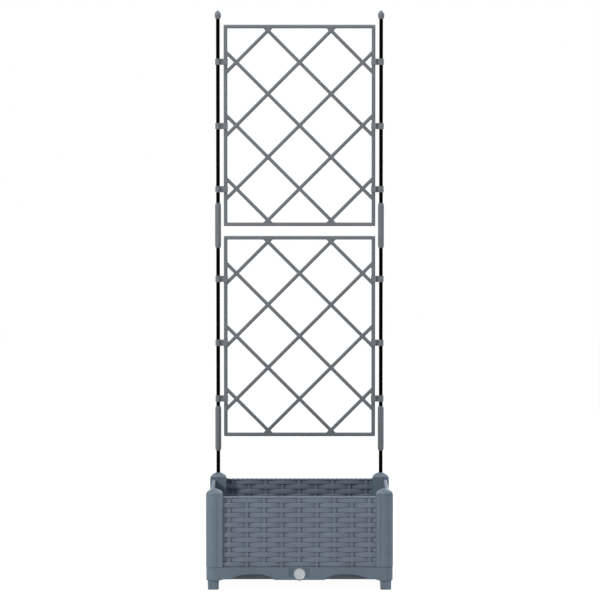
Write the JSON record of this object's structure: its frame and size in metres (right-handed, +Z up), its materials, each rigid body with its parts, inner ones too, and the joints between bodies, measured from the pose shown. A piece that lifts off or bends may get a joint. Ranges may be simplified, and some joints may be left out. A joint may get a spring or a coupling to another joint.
{
  "type": "planter with trellis",
  "caption": "Square raised planter box with woven-look walls, domed corner posts and a tall diamond lattice trellis clipped between tube poles.",
  "frame": {"origin": "on the ground under the middle of the box", "axes": "+Z up, the front of the box faces -Y, the trellis stands on the rear edge (+Y), +X is to the right seen from the front"},
  "size_m": [0.4, 0.4, 1.248],
  "materials": {
    "box_plastic": "satin moulded blue-grey",
    "trellis_plastic": "satin moulded grey",
    "coated_steel": "black plastic-coated steel tube",
    "badge_silver": "silver-coloured disc, bare"
  },
  "bodies": {
    "planter": {"base": "box_plastic", "front_left_foot": "box_plastic", "front_left_post": "box_plastic", "front_left_cap": "box_plastic", "front_right_foot": "box_plastic", "front_right_post": "box_plastic", "front_right_cap": "box_plastic", "rear_right_foot": "box_plastic", "rear_right_post": "box_plastic", "rear_right_cap": "box_plastic", "rear_left_foot": "box_plastic", "rear_left_post": "box_plastic", "rear_left_cap": "box_plastic", "front_panel": "box_plastic", "right_panel": "box_plastic", "rear_panel": "box_plastic", "left_panel": "box_plastic", "badge": "badge_silver", "left_lower_tube": "coated_steel", "left_middle_tube": "coated_steel", "left_upper_tube": "coated_steel", "right_lower_tube": "coated_steel", "right_middle_tube": "coated_steel", "right_upper_tube": "coated_steel", "left_lower_sleeve": "trellis_plastic", "left_upper_sleeve": "trellis_plastic", "left_finial": "trellis_plastic", "right_lower_sleeve": "trellis_plastic", "right_upper_sleeve": "trellis_plastic", "right_finial": "trellis_plastic"},
    "upper_trellis": {"upper_lattice": "trellis_plastic", "upper_left_bottom_clip": "trellis_plastic", "upper_left_middle_clip": "trellis_plastic", "upper_left_top_clip": "trellis_plastic", "upper_right_bottom_clip": "trellis_plastic", "upper_right_middle_clip": "trellis_plastic", "upper_right_top_clip": "trellis_plastic"},
    "lower_trellis": {"lower_lattice": "trellis_plastic", "lower_left_bottom_clip": "trellis_plastic", "lower_left_middle_clip": "trellis_plastic", "lower_left_top_clip": "trellis_plastic", "lower_right_bottom_clip": "trellis_plastic", "lower_right_middle_clip": "trellis_plastic", "lower_right_top_clip": "trellis_plastic"}
  },
  "joints": [
    {"name": "upper_trellis_slide", "type": "slide", "parent": "planter", "child": "upper_trellis", "axis": [0, 0, 1], "range_m": [-0.0105, 0.085]},
    {"name": "lower_trellis_slide", "type": "slide", "parent": "planter", "child": "lower_trellis", "axis": [0, 0, 1], "range_m": [-0.009, 0.0105]}
  ]
}
